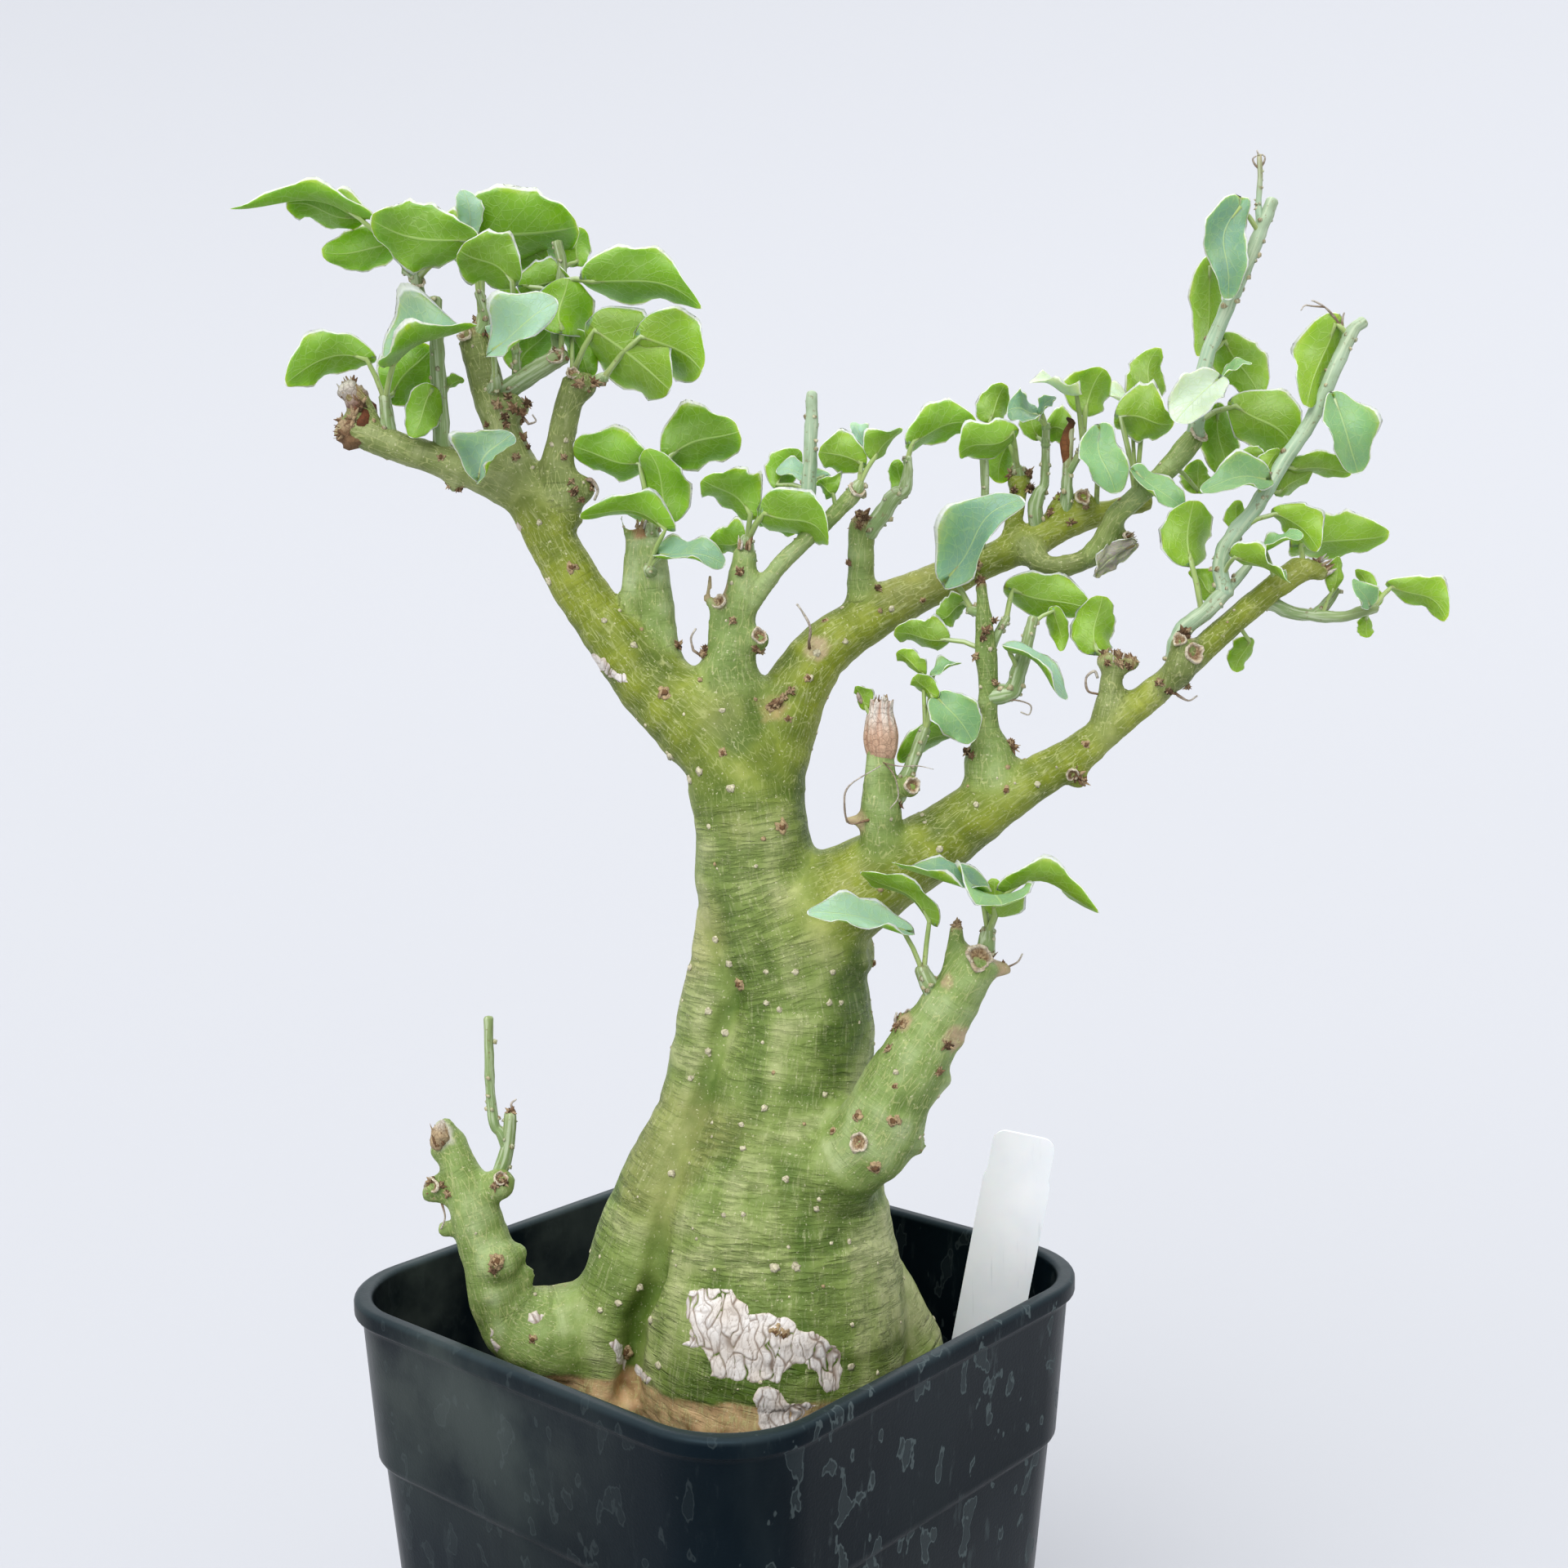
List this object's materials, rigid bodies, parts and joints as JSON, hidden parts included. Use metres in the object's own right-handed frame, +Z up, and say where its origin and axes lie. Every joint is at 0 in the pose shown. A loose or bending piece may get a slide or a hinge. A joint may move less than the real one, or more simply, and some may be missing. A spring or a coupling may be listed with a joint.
{
  "type": "potted adenia",
  "caption": "Potted caudex plant: swollen green trunk with pruned limbs, cut stumps and thin leafy shoots in a square black nursery pot with a bare plant label.",
  "frame": {"origin": "centre of the pot's underside", "axes": "+Z up along the pot's axis, -Y towards the side seen in the picture, +X to its right"},
  "size_m": [0.2674, 0.169, 0.4015],
  "materials": {
    "pot_plastic": "satin, moulded, water spotted",
    "potting_mix": "rough loose mix of bark and grit",
    "label_plastic": "satin",
    "green_bark": "smooth living bark with fine wrinkles and pale warts",
    "young_stem": "waxy living stem",
    "leaf": "waxy leaf, bluish above and bright green below",
    "dead_leaf": "dry and matt"
  },
  "bodies": {
    "root": {"pot": "pot_plastic", "soil": "potting_mix", "plant_label": "label_plastic", "trunk": "green_bark", "shoot_left_high": "leaf", "shoot_left_end": "leaf", "leaf_left_fork": "leaf", "shoot_left_crown": "leaf", "shoot_left_inner": "leaf", "shoot_left_side": "leaf", "shoot_left_knob": "leaf", "shoot_middle": "leaf", "shoot_middle_low": "leaf", "shoot_centre": "leaf", "stem_centre": "leaf", "leaf_offshoot": "leaf", "shoot_offshoot": "leaf", "shoot_upper_stub": "leaf", "shoot_thin": "leaf", "shoot_horned": "leaf", "shoot_right_inner": "leaf", "shoot_right_thin": "leaf", "leaf_right_narrow": "leaf", "shoot_limb_end": "leaf", "leaf_pale_tip": "leaf", "leaf_pale_tip_under": "leaf", "shoot_tall_left": "leaf", "shoot_tall_right": "leaf", "leaf_near_tip": "leaf", "leaf_limb_tip": "leaf", "leaf_behind_limb": "leaf", "shoot_right_end": "leaf", "shoot_post_top": "leaf", "leaf_post_left": "leaf", "shoot_post_right": "leaf", "leaf_post_low": "leaf", "shoot_post_stub": "leaf", "leaf_low_stub": "leaf", "shoot_capped_stub": "leaf", "leaf_capped_stub": "leaf", "shoot_stump_left": "leaf", "shoot_stump_right": "leaf", "stem_lower_left": "young_stem", "dead_leaf": "dead_leaf"}
  },
  "joints": []
}
